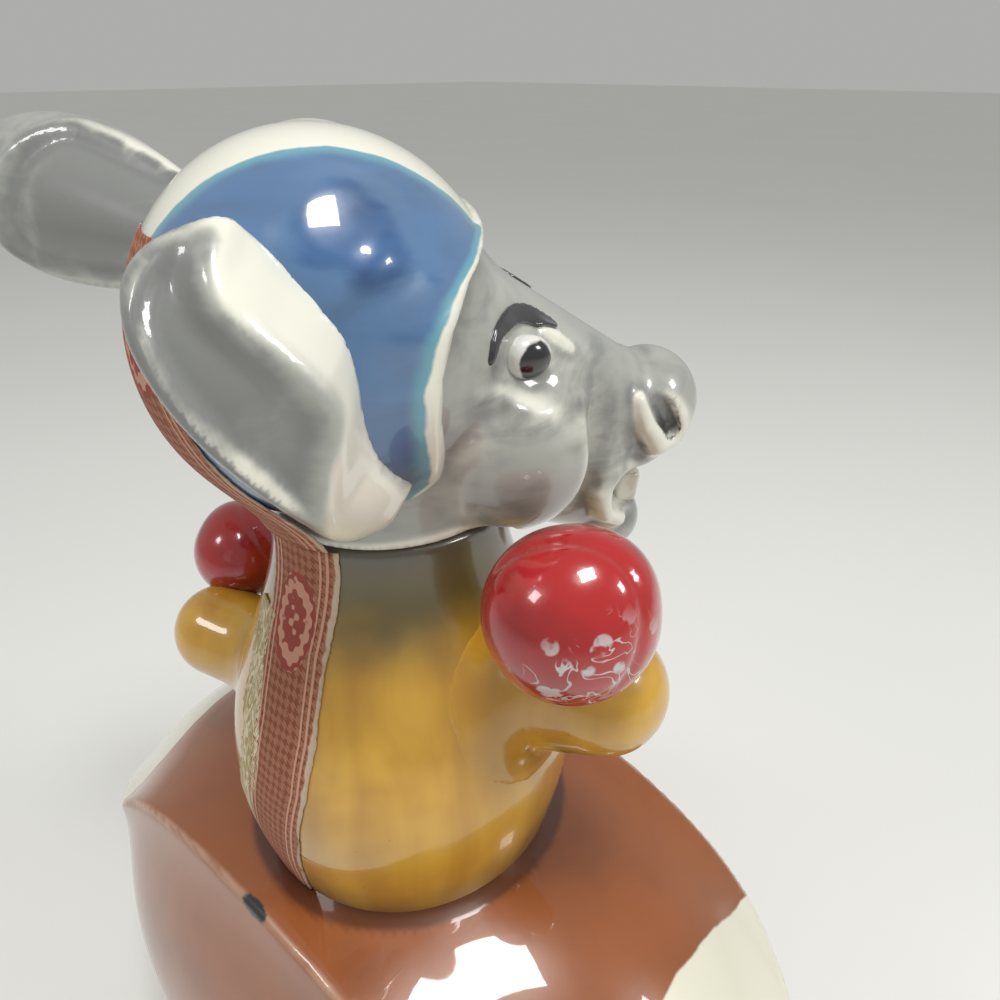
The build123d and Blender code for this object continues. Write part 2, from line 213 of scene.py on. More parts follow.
camera_data = bpy.data.cameras.new("camera")
camera_data.sensor_width = SENSOR
camera_data.lens = FOCAL_LENGTH
camera_data.clip_start = 0.01
camera = bpy.data.objects.new("camera", camera_data)
bpy.context.scene.collection.objects.link(camera)
camera.location = Vector(CAMERA_PLACE) * MM
camera.rotation_euler = Vector(CAMERA_HEADING).to_track_quat("-Z", "Y").to_euler()
bpy.context.scene.camera = camera

# %% [markdown]
# The head turns to the figure's right and leans the same way, so its features are placed in a frame of
# their own: forward along the snout, right towards the near cheek, and up through the crown.

# %% The head's own frame
HEAD_TURN = math.radians(29)
HEAD_TIP = math.radians(12)
HEAD_CENTRE = np.array((0.0, 10.0, 219.0))

forward = np.array((-math.sin(HEAD_TURN), -math.cos(HEAD_TURN), 0.0))
level_right = np.cross(forward, (0, 0, 1))
up = math.cos(HEAD_TIP) * np.array((0, 0, 1.0)) + math.sin(HEAD_TIP) * level_right
right = np.cross(forward, up)
head_axes = np.stack((forward, right, up))


def on_head(points):
    """World places as forward, right and up on the head."""
    return (points - HEAD_CENTRE) @ head_axes.T


def from_head(points):
    """Forward, right and up on the head as world places."""
    return np.array(points) @ head_axes + HEAD_CENTRE


print("head axes", head_axes.round(3).tolist())

# %% [markdown]
# ## The ball
# A real football is four leather panels sewn edge to edge. The casting keeps that: four panels sag between
# sharp seams that run level along the length, and the ends close to blunt points. The section is drawn as a
# radius that changes with the angle round the long axis, and the whole ball is turned a little on its foot.

# %% Ball
BALL_HALF_LENGTH = 102.0
PANEL_RADIUS, RIDGE_RADIUS, FOOT_RADIUS = 58.5, 68.0, 62.0
BALL_AXIS_HEIGHT = 56.0
BALL_TURN = math.radians(3)
SEAM_OFFSET, SEAM_LIMIT = 43.0, 0.82
SEAM_FALL = math.radians(9)


def on_ball(points):
    """Places along the ball's own axis, across it and above it."""
    x, y = points[..., 0], points[..., 1]
    along = x * math.cos(BALL_TURN) + y * math.sin(BALL_TURN)
    across = y * math.cos(BALL_TURN) - x * math.sin(BALL_TURN)
    return np.stack((along, across, points[..., 2] - BALL_AXIS_HEIGHT), axis=-1)


def ball_share(along):
    """How wide the ball is at a place along it, against its middle."""
    return np.maximum(1 - np.clip(np.abs(along) / BALL_HALF_LENGTH, 0, 1) ** 2.4, 0) ** 0.53


def seam_angles(b):
    """The angle round the axis of a place and of the seam beside it."""
    angle = np.arctan2(np.abs(b[..., 2]), np.abs(b[..., 1]))
    ridge = np.maximum(RIDGE_RADIUS * ball_share(b[..., 0]), 1.0)
    return angle, np.arccos(np.minimum(SEAM_OFFSET / ridge, SEAM_LIMIT))


def ball_field(points):
    """The four-panelled ball with its foot cut flat."""
    b = on_ball(points)
    share = ball_share(b[..., 0])
    angle, seam = seam_angles(b)
    fall = np.sqrt((angle - seam) ** 2 + math.radians(0.7) ** 2) / SEAM_FALL
    below = PANEL_RADIUS + (FOOT_RADIUS - PANEL_RADIUS) * ease(-0.1, 0.5, angle - seam)
    panel = np.where(b[..., 2] < 0, below, PANEL_RADIUS)
    radius = share * (panel + (RIDGE_RADIUS - panel) * np.exp(-fall))
    body = (length(b[..., 1:]) - radius) * np.minimum(1, 0.35 + share)
    body = np.maximum(body, np.abs(b[..., 0]) - BALL_HALF_LENGTH)
    return overlap(body, -points[..., 2], 2.0)


ball = clay("ball", box_of("football_base"), ball_field, 1.5)

# %% [markdown]
# ## The torso and arms
# The jersey is one bell that narrows to the neck. The arms are stubby: a rounded sleeve end, bent at the
# elbow, with a boxing glove sitting in it. A fillet joins each sleeve to the bell, as on the real casting.

# %% Torso
TORSO_FOOT_HEIGHT = 105.0
NECK_RIM_HEIGHT = 188.0
TORSO_HALF_WIDTH = 37.5
TORSO_STATIONS = (0.0, 0.12, 0.24, 0.4, 0.58, 0.76, 0.9, 1.0)
TORSO_SHARES = (0.85, 0.92, 0.97, 0.965, 0.862, 0.698, 0.607, 0.587)
TORSO_CURVE = np.polyfit(TORSO_STATIONS, TORSO_SHARES, 5)
BORE_RADIUS, BORE_LENGTH = 11.05, 19.0
TORSO_HOLLOW_CENTRE, TORSO_HOLLOW_RADII = (0, 0, 132), (28, 28, 34)


def from_axis(points):
    """Distance from the neck's upright axis."""
    return np.sqrt(points[..., 0] ** 2 + points[..., 1] ** 2)


def torso_radius(z):
    """The bell's radius at a height, smoothed through its stations."""
    place = np.clip((z - TORSO_FOOT_HEIGHT) / (NECK_RIM_HEIGHT - TORSO_FOOT_HEIGHT), 0, 1)
    return TORSO_HALF_WIDTH * np.polyval(TORSO_CURVE, place)


def bell_field(points):
    """The bell's side alone, with the slow unevenness of a hand-finished casting."""
    x, y, z = points[..., 0], points[..., 1], points[..., 2]
    around = np.arctan2(y, x)
    uneven = 0.25 * np.sin(3 * around + z / 19) + 0.2 * np.sin(2 * around - z / 31 + 1)
    return (from_axis(points) - torso_radius(z) - uneven) * 0.95


def torso_field(points):
    """The bell cut level at the neck rim, bored for the cork and let into the ball."""
    z = points[..., 2]
    body = overlap(bell_field(points), z - NECK_RIM_HEIGHT, 1.0)
    bore = np.maximum(from_axis(points) - BORE_RADIUS, NECK_RIM_HEIGHT - BORE_LENGTH - z)
    body = np.maximum(body, -bore)
    body = np.maximum(body, -egg(points, TORSO_HOLLOW_CENTRE, TORSO_HOLLOW_RADII))
    return np.maximum(body, TORSO_FOOT_HEIGHT - z)


torso = clay("jersey", box_of("torso", 2.5), torso_field, 1.0)

# %% Sleeves
RIGHT_SHOULDER, RIGHT_ELBOW, RIGHT_SLEEVE_RADIUS = (-14, -4, 146), (-46.5, -8, 163), 11.5
LEFT_SHOULDER, LEFT_ELBOW, LEFT_SLEEVE_RADIUS = (14, 5, 134), (48, 17, 138), 11.0


def armed_bell(points, shoulder, elbow, radius):
    """A sleeve and the bell in one, with a fillet between."""
    return merge(limb(points, shoulder, elbow, radius * 0.95, radius), bell_field(points) + 0.15, 9.0)


def sleeve_field(points, shoulder, elbow, radius):
    """A sleeve that fillets into the bell, cut off where the fillet ends."""
    joined = armed_bell(points, shoulder, elbow, radius)
    near_arm = limb(points, shoulder, elbow, radius + 7, radius + 7)
    return np.maximum(np.maximum(joined, near_arm), -(bell_field(points) + 2.0))


right_sleeve = clay("right_sleeve_cast", box_of("right_sleeve", 6.0), lambda p: sleeve_field(
    p, RIGHT_SHOULDER, RIGHT_ELBOW, RIGHT_SLEEVE_RADIUS), 0.9)
left_sleeve = clay("left_sleeve_cast", box_of("left_sleeve", 6.0), lambda p: sleeve_field(
    p, LEFT_SHOULDER, LEFT_ELBOW, LEFT_SLEEVE_RADIUS), 0.9)

# %% Gloves
RIGHT_GLOVE, RIGHT_GLOVE_RADIUS = np.array((-45.7, 1.4, 184.0)), 14.3
LEFT_GLOVE, LEFT_GLOVE_RADIUS = np.array((54.9, 4.8, 152.0)), 12.0


def glove_field(points, centre, radius, knuckles):
    """A padded mitt: round, fuller at the knuckles, with the soft step where the thumb lies."""
    local = (points - centre) / radius
    form = egg(local, (0, 0, 0), (0.98, 0.98, 0.97))
    form = merge(form, egg(local, knuckles, (0.5, 0.5, 0.45)), 0.35)
    thumb = np.array((knuckles[1], -knuckles[0], 0.1))
    crease = local @ thumb / np.linalg.norm(thumb) - 0.45
    form = form + 0.035 * hump(crease, 0.07)
    return form * radius


right_glove = clay("right_mitt", box_of("right_glove"), lambda p: glove_field(
    p, RIGHT_GLOVE, RIGHT_GLOVE_RADIUS, (-0.25, -0.1, 0.45)), 0.8)
left_glove = clay("left_mitt", box_of("left_glove"), lambda p: glove_field(
    p, LEFT_GLOVE, LEFT_GLOVE_RADIUS, (0.25, -0.1, 0.45)), 0.8)

# %% [markdown]
# ## The head
# The face is built as a sculptor would: a skull, a long tapering snout, a jaw, full cheeks, and then the
# nose, lips, nostrils and eye sockets pressed in or added.

# %% Face
SKULL_CENTRE, SKULL_RADII = (0, 0, 2), (26.9, 26.9, 28.4)
HEAD_SEAT_HEIGHT = 188.3
NECK_ROOM_RADIUS = 27.0
NOSTRIL = [(56.4, 10.0, -11.0), (59.2, 9.8, -15.0), (61.6, 9.0, -19.6)]
NOSTRIL_RIM = [
    (53.8, 9.3, -12.0), (55.8, 10.3, -17.5), (59.3, 9.8, -22.8), (63.6, 7.7, -23.2), (65.0, 7.0, -18.0),
]
NOSE_WING = [(50.5, 13, -10), (51.5, 13.5, -18), (54, 12.5, -24.5)]
GROOVE = [(47.0, 13.5, -6), (45.0, 14.5, -13), (42.5, 15.5, -22), (41, 15, -33)]
EYE_BAG = [(20.5, 0.4), (22.9, -0.3), (26.9, -2.8), (29.7, -4.1), (32.5, -4.8)]
MOUTH_RIM = [(49.5, 10.5, -26.5), (48, 11.5, -31), (50, 11, -37), (54, 9.5, -40.5)]
MOUTH, MOUTH_RADII = [(54.5, 9.5, -33.5), (61, 4, -36)], [4.0, 5.0]
EYE_LID = [(33.7, 8.6, 3.8), (36.3, 8.5, 2.0), (38.9, 8.6, -0.1)]
EYE_SOCKET, EYE_SOCKET_RADII = (31, 18.2, 2.0), (7, 4.6, 6)


def face_field(h):
    """The face in head places, the same on both sides."""
    h = np.stack((h[..., 0], np.sqrt(h[..., 1] ** 2 + 0.3), h[..., 2]), axis=-1)
    form = egg(h, SKULL_CENTRE, SKULL_RADII)
    form = merge(form, limb(h, (14, 0, -4), (50, 0, -16.5), 20.5, 10.5), 6)
    form = merge(form, limb(h, (16, 0, -14), (50, 0, -38), 18.5, 9.5), 6)
    form = merge(form, egg(h, (29, 11, -18), (15, 13.5, 15)), 6)
    form = merge(form, egg(h, (48, 0, -27), (9, 12.5, 10)), 4)
    form = merge(form, egg(h, (54.5, 0, -46.5), (8.5, 9.5, 7.0)), 4)
    form = carve(form, chain(h, GROOVE, [2.4, 3.6, 3.8, 2.6]), 4)
    form = merge(form, egg(h, (60, 0, -18.5), (10, 10.5, 10.5)), 2.0)
    form = merge(form, egg(h, (57, 0, -26.5), (7, 9.5, 4)), 3.0)
    form = carve(form, chain(h, NOSE_WING, [1.2, 2.0, 1.2]), 3.0)
    form = merge(form, chain(h, NOSTRIL_RIM, [0.9, 1.6, 1.8, 1.5, 0.9]), 2.0)
    form = carve(form, chain(h, NOSTRIL, [1.3, 2.1, 1.7]), 1.0)
    form = merge(form, chain(h, MOUTH_RIM, [1.0, 1.8, 2.0, 1.6]), 2.5)
    form = carve(form, chain(h, MOUTH, MOUTH_RADII), 1.4)
    form = carve(form, egg(h, EYE_SOCKET, EYE_SOCKET_RADII), 3)
    form = merge(form, chain(h, EYE_LID, [0.5, 0.9, 0.5]), 1.5)
    near = ease(8, 12, h[..., 1])
    form = form - 0.6 * hump(trail(h, EYE_BAG), 1.8) * near
    return form


def neck_field(points):
    """The short neck that flares down to the rim it sits on."""
    z = points[..., 2]
    radius = 22.0 + 0.02 * np.clip(z - HEAD_SEAT_HEIGHT, 0, 30)
    return np.maximum(from_axis(points) - radius, z - HEAD_SEAT_HEIGHT - 20)


def head_field(points):
    """The whole head down to its seat on the neck rim."""
    form = merge(face_field(on_head(points)), neck_field(points), 3)
    room = np.maximum(from_axis(points) - NECK_ROOM_RADIUS, points[..., 2] - HEAD_SEAT_HEIGHT)
    form = carve(form, room, 1.0)
    socket = np.maximum(from_axis(points) - 11.0, points[..., 2] - HEAD_SEAT_HEIGHT - 18)
    return np.maximum(form, -socket)


head = clay("face", box_of("head", 6.0), head_field, 0.8)

# %% [markdown]
# ## The helmet
# A leather-style helmet hugs the skull and stops at the face in a raised rim. On the near side two soft
# swellings stand for its ear pad, and a folded ridge runs between them.

# %% Helmet
HELMET_CENTRE, HELMET_RADII = (0, 0, 2), (29, 29, 30.5)
HELMET_HOLLOW_RADII = (26.6, 26.6, 28.1)
FRONT_EDGE = [
    (8, -24), (10.5, -19), (15, -13), (14.2, -6), (13.2, 0), (13.4, 7), (15.6, 13), (19.5, 17.5), (27, 20.5),
    (38, 22),
]
HEM_PLACE, HEM_SLOPE = (-4, -22.5), 0.344


def front_reach(h):
    """How far a place lies ahead of the helmet's front edge."""
    edge = np.interp(h[..., 2], [w for _, w in FRONT_EDGE], [u for u, _ in FRONT_EDGE])
    return (h[..., 0] - edge) * 0.8


def hem_reach(h):
    """How far a place lies below the helmet's hem."""
    hem = HEM_PLACE[1] + HEM_SLOPE * (h[..., 0] - HEM_PLACE[0])
    return (hem - h[..., 2]) * 0.95


def ear_pad(h):
    """The swellings on each side of the helmet."""
    h = np.stack((h[..., 0], np.abs(h[..., 1]), h[..., 2]), axis=-1)
    pad = 1.2 * ease(11, 4.5, length(h - (2.0, 17.8, 26.0)))
    pad += 0.9 * ease(10, 4, length(h - (8.8, 23, 17.5)))
    pad += 0.6 * hump(chain(h, [(-0.5, 24.5, 19), (2, 24, 20.5), (6, 21, 22.3)], [0, 0, 0]), 1.8)
    return pad


def helmet_field(points):
    """A shell over the skull with a face opening, a rolled rim and a sloping hem."""
    h = on_head(points)
    front = front_reach(h)
    shell = egg(h, HELMET_CENTRE, HELMET_RADII) - ear_pad(h) - 0.8 * hump(front + 1.6, 1.6)
    shell = np.maximum(shell, -egg(h, SKULL_CENTRE, HELMET_HOLLOW_RADII))
    return overlap(overlap(shell, front, 1.6), hem_reach(h), 1.6)


helmet = clay("helmet_shell", box_of("helmet"), helmet_field, 0.75)

# %% [markdown]
# ## The ears
# The near ear is a broad flap folded down over the helmet's side. Its outline is drawn on the side view and
# cut from a swollen shell. A ridge runs down it, and what lies behind the ridge sinks into a long hollow.
# The far ear stands out behind, with a shallow hollow of its own.

# %% Near ear
EAR_OUTLINE = rounded([
    (-4.8, 29.8), (-10.5, 30.7), (-16, 29.8), (-20, 28), (-23, 25.2), (-24.6, 22.4), (-25, 19.6),
    (-24.4, 16.4), (-22.6, 13), (-19.9, 9), (-15.1, 2.4), (-9.3, -6.4), (-5.2, -13.4), (-0.2, -18),
    (4.3, -17.4), (8.8, -14.2), (10.6, -11.3), (6.8, -8), (3.6, -2), (2.3, 5), (2.6, 10.7), (1.9, 15.6),
    (-0.4, 18.8), (-4.5, 22), (-6.4, 24.4), (-6.6, 27.2),
], closed=True, rounds=1)
EAR_BACK = np.concatenate((rounded([
    (-4, 31.5), (-10.5, 29.8), (-13.4, 28), (-14.8, 25.5), (-14.2, 22.8), (-11.7, 20.8), (-8.1, 17.6),
    (-4.7, 13.9), (-2.4, 9.8), (-2.5, 6.4), (-4.4, 2), (-6, -5.5), (-4.5, -14), (0, -22),
]), [(-40, -22), (-40, 45), (-4, 45)]))
EAR_FRONT = [(-6.4, 27), (-4.4, 21.9), (1.8, 15.3), (2.3, 5), (3.6, -2), (10, -11.5)]
EAR_CREASE = rounded([(-22.6, 15.6), (-20, 12.6), (-17, 9.2), (-13.4, 4.4), (-10.4, -0.4)])


def outline_reach(spot, outline):
    """Signed distance of flat places to a closed outline, negative inside."""
    nearest = np.full(spot.shape[:-1], np.inf)
    inside = np.zeros(spot.shape[:-1], bool)
    for start, end in zip(outline, np.roll(outline, -1, axis=0)):
        run = end - start
        share = np.clip(((spot - start) @ run) / max(run @ run, 1e-9), 0, 1)
        nearest = np.minimum(nearest, length(spot - start - share[..., None] * run))
        if start[1] != end[1]:
            crosses = (spot[..., 1] < start[1]) != (spot[..., 1] < end[1])
            meet = start[0] + (spot[..., 1] - start[1]) / run[1] * run[0]
            inside ^= crosses & (spot[..., 0] < meet)
    return np.where(inside, -nearest, nearest)


def near_ear_form(h, solid=False):
    """The near ear in head places, or its outer side alone when solid."""
    form = merge(egg(h, (-14, 5, 2), (30, 33, 30)), egg(h, (2, 18, -7), (14, 13, 13)), 8)
    edge = outline_reach(h[..., (0, 2)], EAR_OUTLINE)
    behind = -outline_reach(h[..., (0, 2)], EAR_BACK)
    form = form + 2.6 * ease(-0.5, 5.5, behind) * ease(26, 8, behind) * (1 - 0.75 * ease(4.5, 1.0, -edge))
    form = form - 0.8 * hump(behind + 1.2, 2.4)
    form = form + 3.0 * ease(8, 0, trail(h, EAR_FRONT))
    form = form + 0.5 * hump(trail(h, EAR_CREASE), 2.6)
    if not solid:
        form = carve(form, egg(h, (-13, 5, 2), (24, 26.5, 24)), 2)
    inner_limit = 18.5 - 15 * ease(17, 3, h[..., 2])
    return overlap(overlap(form, inner_limit - h[..., 1], 2.0), edge, 3.0)


def near_ear_field(points):
    h = on_head(points)
    return np.maximum(near_ear_form(h), -egg(h, HELMET_CENTRE, HELMET_RADII) - 0.5)


near_ear = clay("near_ear", box_of("right_ear", 6.0), near_ear_field, 0.7)

# %% Far ear
FAR_EAR_ROOT, FAR_EAR_TIP = np.array((-17, -28, 4.5)), np.array((-60, -77, 6.5))
FAR_EAR_ACROSS = np.array((0.66, -0.28, 0.70))
FAR_EAR_LENGTH = np.linalg.norm(FAR_EAR_TIP - FAR_EAR_ROOT)
far_run = (FAR_EAR_TIP - FAR_EAR_ROOT) / FAR_EAR_LENGTH
far_across = FAR_EAR_ACROSS - (FAR_EAR_ACROSS @ far_run) * far_run
far_across = far_across / np.linalg.norm(far_across)
far_face = np.cross(far_run, far_across)
far_face = far_face * np.sign(far_face[2])
far_axes = np.stack((far_run, far_across, far_face))
FAR_EAR_PANEL = rounded([
    (47, 3), (38, 11.7), (27, 12), (16, 11.2), (0, 10), (-5, 0), (0, -20), (30, -22), (50, -12),
], closed=True)


def far_ear_field(points):
    """The far ear in its own places: along, across and out of its hollow face."""
    h = on_head(points)
    e = (h - FAR_EAR_ROOT) @ far_axes.T
    form = egg(e, (FAR_EAR_LENGTH * 0.58, -0.5, 0), (FAR_EAR_LENGTH * 0.45, 15.5, 8.0))
    form = merge(form, limb(e, (-4, 0, 0), (FAR_EAR_LENGTH * 0.5, 0, 0), 10.5, 9.5), 9)
    inside = -outline_reach(e[..., :2], FAR_EAR_PANEL)
    form = form + 2.4 * ease(0, 5, inside) * ease(0, 3, e[..., 2])
    form = form - 0.5 * hump(inside + 1, 1.5) * ease(0, 3, e[..., 2])
    return np.maximum(form, -egg(h, HELMET_CENTRE, HELMET_RADII) - 0.5)


far_ear = clay("far_ear", box_of("left_ear", 6.0), far_ear_field, 0.9)

# %% [markdown]
# ## Small features
# The eyes are low domes, the brows raised brush strokes, and the teeth a short row in the open mouth.

# %% Eyes, brows and teeth
EYE_PLACE = (29.7, 12.9, 1.6)
EYE_RADII = (4.1, 3.1, 3.7)
BROW_STROKE = rounded([
    (22.2, 17.2, 4.4), (23.4, 15.5, 6.9), (25.5, 13.1, 7.8), (28.2, 9.9, 7.8), (31.1, 8.0, 6.6),
    (33.5, 7.4, 5.1), (36.0, 6.9, 3.6),
], rounds=1)
BROW_RADII = np.interp(np.linspace(0, 1, len(BROW_STROKE)), [0, 0.3, 0.75, 1], [0.9, 1.3, 1.9, 0.9])
TEETH_PLACE, TEETH_HALF_SIZE = (57.0, 0, -36.4), (3.0, 6.0, 3.9)


def mirrored(h, side):
    """Head places with the given side brought to the right."""
    return h * (1, side, 1)


def tooth_row(h):
    """A rounded block with a groove between each two teeth."""
    offset = np.abs(h - TEETH_PLACE) - TEETH_HALF_SIZE
    block = length(np.maximum(offset, -1.5) + 1.5) - 1.5
    groove = np.abs(np.sin(h[..., 1] / 5.0 * math.pi))
    return block + 0.45 * hump(groove, 0.16)


def head_box(centre, margin):
    """A box about a place on the head."""
    middle = from_head(centre)
    return middle - margin, middle + margin


eyes, brows = {}, {}
for side_name, side in (("right", 1), ("left", -1)):
    eye_box = head_box(np.array(EYE_PLACE) * (1, side, 1), 9)
    eyes[side_name] = clay(side_name + "_eyeball", eye_box, lambda p: egg(
        mirrored(on_head(p), side), EYE_PLACE, EYE_RADII), 0.4)
    brow_box = head_box(np.array((29, 12, 5)) * (1, side, 1), 14)
    brows[side_name] = clay(side_name + "_brow_stroke", brow_box, lambda p: np.maximum(
        chain(mirrored(on_head(p), side), BROW_STROKE, BROW_RADII), np.abs(head_field(p) + 0.4) - 1.0), 0.35)
teeth = clay("tooth_row", head_box(TEETH_PLACE, 14), lambda p: tooth_row(on_head(p)), 0.45)

# %% [markdown]
# ## The paper strip
# A printed paper strip was glued over the closed bottle and slit at the neck, so it is in two lengths. A
# ribbon that follows a surface is made by looking straight at the clay from behind: for each row and
# column the paper lies where that line of sight first meets the form, a paper's thickness proud of it.

# %% Paper
STRIP_WIDTH = 16.0
PAPER_THICKNESS = 0.25
STRIP_HEIGHTS = (109, 128, 142, 153, 168, 189, 206, 220, 238)
STRIP_SWAY = (1.5, -2.5, -5, -5, -2.8, -2.5, 0, 2.5, 4.5)
ROSETTE_LOW, ROSETTE_HIGH = 172.6, 226.0


def sight(field, x, z, near=75.0, far=0.0):
    """Where a line of sight along -Y first meets a field."""
    y = np.full(np.shape(x), near)
    for _ in range(90):
        reach = field(np.stack((x, y, z), axis=-1))
        y = np.maximum(y - np.clip(reach, -0.5, 4.0) * 0.8, far)
    return y


def ribbon(name, heights, centre, half_width, field, ragged=(0.15, 0.15), columns=24, seed=3):
    """A thin strip of paper over a field, from its centre line and half width at each height."""
    rng = np.random.default_rng(seed)
    rows = len(heights)

    def edge(amount):
        fine = rng.normal(0, 1, rows)
        coarse = np.convolve(rng.normal(0, 1.6, rows), np.ones(7) / 7, mode="same")
        return amount * (0.45 * fine + coarse)

    left, right = -half_width + edge(ragged[0]), half_width + edge(ragged[1])
    share = np.linspace(0, 1, columns)
    across = left[:, None] + (right - left)[:, None] * share
    x = centre[:, None] - across
    z = np.repeat(heights[:, None], columns, axis=1)
    y = sight(field, x, z)
    surface = np.stack((x, y, z), axis=-1)
    normal = slope_of(field, surface)
    normal = normal / length(normal)[..., None]
    layers = [surface + normal * lift for lift in (0.1, 0.1 + PAPER_THICKNESS)]
    points = np.concatenate([layer.reshape(-1, 3) for layer in layers])
    index = np.arange(rows * columns).reshape(rows, columns)
    top = index + rows * columns
    quads = []
    for r in range(rows - 1):
        for c in range(columns - 1):
            quads.append((top[r, c], top[r, c + 1], top[r + 1, c + 1], top[r + 1, c]))
            quads.append((index[r, c], index[r + 1, c], index[r + 1, c + 1], index[r, c + 1]))
        for c in (0, columns - 1):
            quads.append((index[r, c], top[r, c], top[r + 1, c], index[r + 1, c]))
    for r in (0, rows - 1):
        for c in range(columns - 1):
            quads.append((index[r, c], index[r, c + 1], top[r, c + 1], top[r, c]))
    mesh = bpy.data.meshes.new(name)
    mesh.from_pydata((points * MM).tolist(), [], [tuple(int(i) for i in q) for q in quads])
    piece = bpy.data.objects.new(name, mesh)
    bpy.context.scene.collection.objects.link(piece)
    tidy(piece)
    spots = places_of(piece)
    middle = np.interp(spots[:, 2], heights, centre)
    paint(piece, across=middle - spots[:, 0], along=spots[:, 2])
    return piece


def strip_centre(z):
    """The strip sways to one side over the torso and to the other up the helmet."""
    return np.interp(z, STRIP_HEIGHTS, STRIP_SWAY)


def back_of_head(points):
    """The helmet and the neck behind, as taut paper bridges them."""
    helmet_side = egg(on_head(points), HELMET_CENTRE, HELMET_RADII)
    return merge(helmet_side, from_axis(points) - 22.2, 12)


torso_rows = np.arange(109.5, 187.8, 0.6)
strip_low = ribbon(
    "lower_strip", torso_rows, strip_centre(torso_rows), STRIP_WIDTH / 2, bell_field, (0.35, 0.12))
head_rows = np.arange(188.7, 238.5, 0.7)
strip_high = ribbon(
    "upper_strip", head_rows, strip_centre(head_rows), STRIP_WIDTH / 2, back_of_head, (0.12, 0.12), seed=5)
scrap_rows = np.arange(118, 172, 0.6)
scrap_centre = strip_centre(scrap_rows) + 9.5 + 1.2 * np.sin(scrap_rows / 6)
scrap = ribbon("torn_scrap", scrap_rows, scrap_centre, 3.6, bell_field, (0.8, 0.3), 14, seed=11)

# %% [markdown]
# ## Finishes
# Glaze is glass over clay, so every piece gets a clear coat. What changes from place to place is colour:
# glaze runs thin and pale on sharp ridges, and hollows are darkened, partly as glaze pools there and partly
# as painted shade. Each piece therefore stores, point by point, how far it stands out (crest) and how far it
# sinks (pit), and the glazes read both.

# %% Crests and pits
def mark_pits_and_crests(piece, field, reach=2.5):
    """Probe the field just outside and just inside each point."""
    spots = places_of(piece)
    normal = slope_of(field, spots)
    normal = normal / np.maximum(length(normal), 1e-6)[:, None]
    outside = field(spots + normal * reach) / reach
    inside = -field(spots - normal * reach) / reach
    # The glazes read pit as darkening in hollows, partly glaze pooling and partly painted shade, and crest as
    # thinning glaze.
    paint(piece, pit=np.clip(1 - outside, 0, 1), crest=np.clip(1 - inside, 0, 1))


# %% Shader expressions
class Value:
    """A shader value that Python's operators can combine."""

    def __init__(self, finish, socket):
        self.finish, self.socket = finish, socket

    def combined(self, operation, first, second):
        return self.finish.node("ShaderNodeMath", {"operation": operation}, {0: first, 1: second})

    def __add__(self, other):
        return self.combined("ADD", self, other)

    def __sub__(self, other):
        return self.combined("SUBTRACT", self, other)

    def __rsub__(self, other):
        return self.combined("SUBTRACT", other, self)

    def __mul__(self, other):
        return self.combined("MULTIPLY", self, other)

    def __truediv__(self, other):
        return self.combined("DIVIDE", self, other)

    __radd__, __rmul__ = __add__, __mul__

    def most(self, other):
        return self.combined("MAXIMUM", self, other)

    def wave(self):
        return self.finish.node("ShaderNodeMath", {"operation": "SINE"}, {0: self})

    def size(self):
        return self.finish.node("ShaderNodeMath", {"operation": "ABSOLUTE"}, {0: self})


class Finish:
    """A material in the making: it adds nodes and joins them to the shader."""

    def __init__(self, name, roughness=0.3, coat=1.0):
        self.material = bpy.data.materials.new(name)
        self.material.use_nodes = True
        self.tree = self.material.node_tree
        self.shader = self.tree.nodes["Principled BSDF"]
        self.shader.inputs["Roughness"].default_value = roughness
        self.shader.inputs["Coat Weight"].default_value = coat
        self.shader.inputs["Coat Roughness"].default_value = 0.03
        self.place = self.node("ShaderNodeTexCoord", output="Object")

    def node(self, kind, settings=(), inputs=(), output=0):
        """Add a node: its settings first, then the values or links of its sockets."""
        made = self.tree.nodes.new(kind)
        for key, value in dict(settings).items():
            setattr(made, key, value)
        for key, value in dict(inputs).items():
            if isinstance(value, Value):
                self.tree.links.new(value.socket, made.inputs[key])
            else:
                made.inputs[key].default_value = value
        return Value(self, made.outputs[output])

    def stored(self, name):
        """A number that the piece keeps at each point."""
        return self.node("ShaderNodeAttribute", {"attribute_name": name}, output="Fac")

    def noise(self, scale, detail=3.0, distortion=0.0, vector=None, roughness=0.5):
        """Cloudy noise: scale counts blobs to the metre."""
        return self.node("ShaderNodeTexNoise", {}, {
            "Vector": vector or self.place, "Scale": scale, "Detail": detail, "Distortion": distortion,
            "Roughness": roughness})

    def cells(self, scale):
        """Distance to scattered points."""
        return self.node("ShaderNodeTexVoronoi", {"feature": "F1"}, {
            "Vector": self.place, "Scale": scale}, "Distance")

    def stretched(self, x, y, z):
        """Object places scaled unevenly, so that noise runs in streaks."""
        return self.node("ShaderNodeVectorMath", {"operation": "MULTIPLY"}, {0: self.place, 1: (x, y, z)})

    def step(self, value, low, high):
        """0 to 1 as value passes from low to high."""
        return self.node("ShaderNodeMapRange", {"interpolation_type": "SMOOTHSTEP"}, {
            "Value": value, "From Min": low, "From Max": high})

    def mix(self, factor, first, second):
        """Blend two colours."""
        pair = [c if isinstance(c, Value) else (*c, 1.0) for c in (first, second)]
        return self.node("ShaderNodeMix", {"data_type": "RGBA"}, {0: factor, 6: pair[0], 7: pair[1]}, 2)

    def wear(self, **sockets):
        """Join values or links to the shader's sockets."""
        for name, value in sockets.items():
            socket = self.shader.inputs[name.replace("_", " ")]
            self.tree.links.new(value.socket, socket)

    def bump(self, height, strength=0.3, distance=0.0005):
        """Raise the surface by a height."""
        return self.node("ShaderNodeBump", {}, {"Height": height, "Strength": strength, "Distance": distance},
                         "Normal")


CREAM = (0.80, 0.79, 0.68)


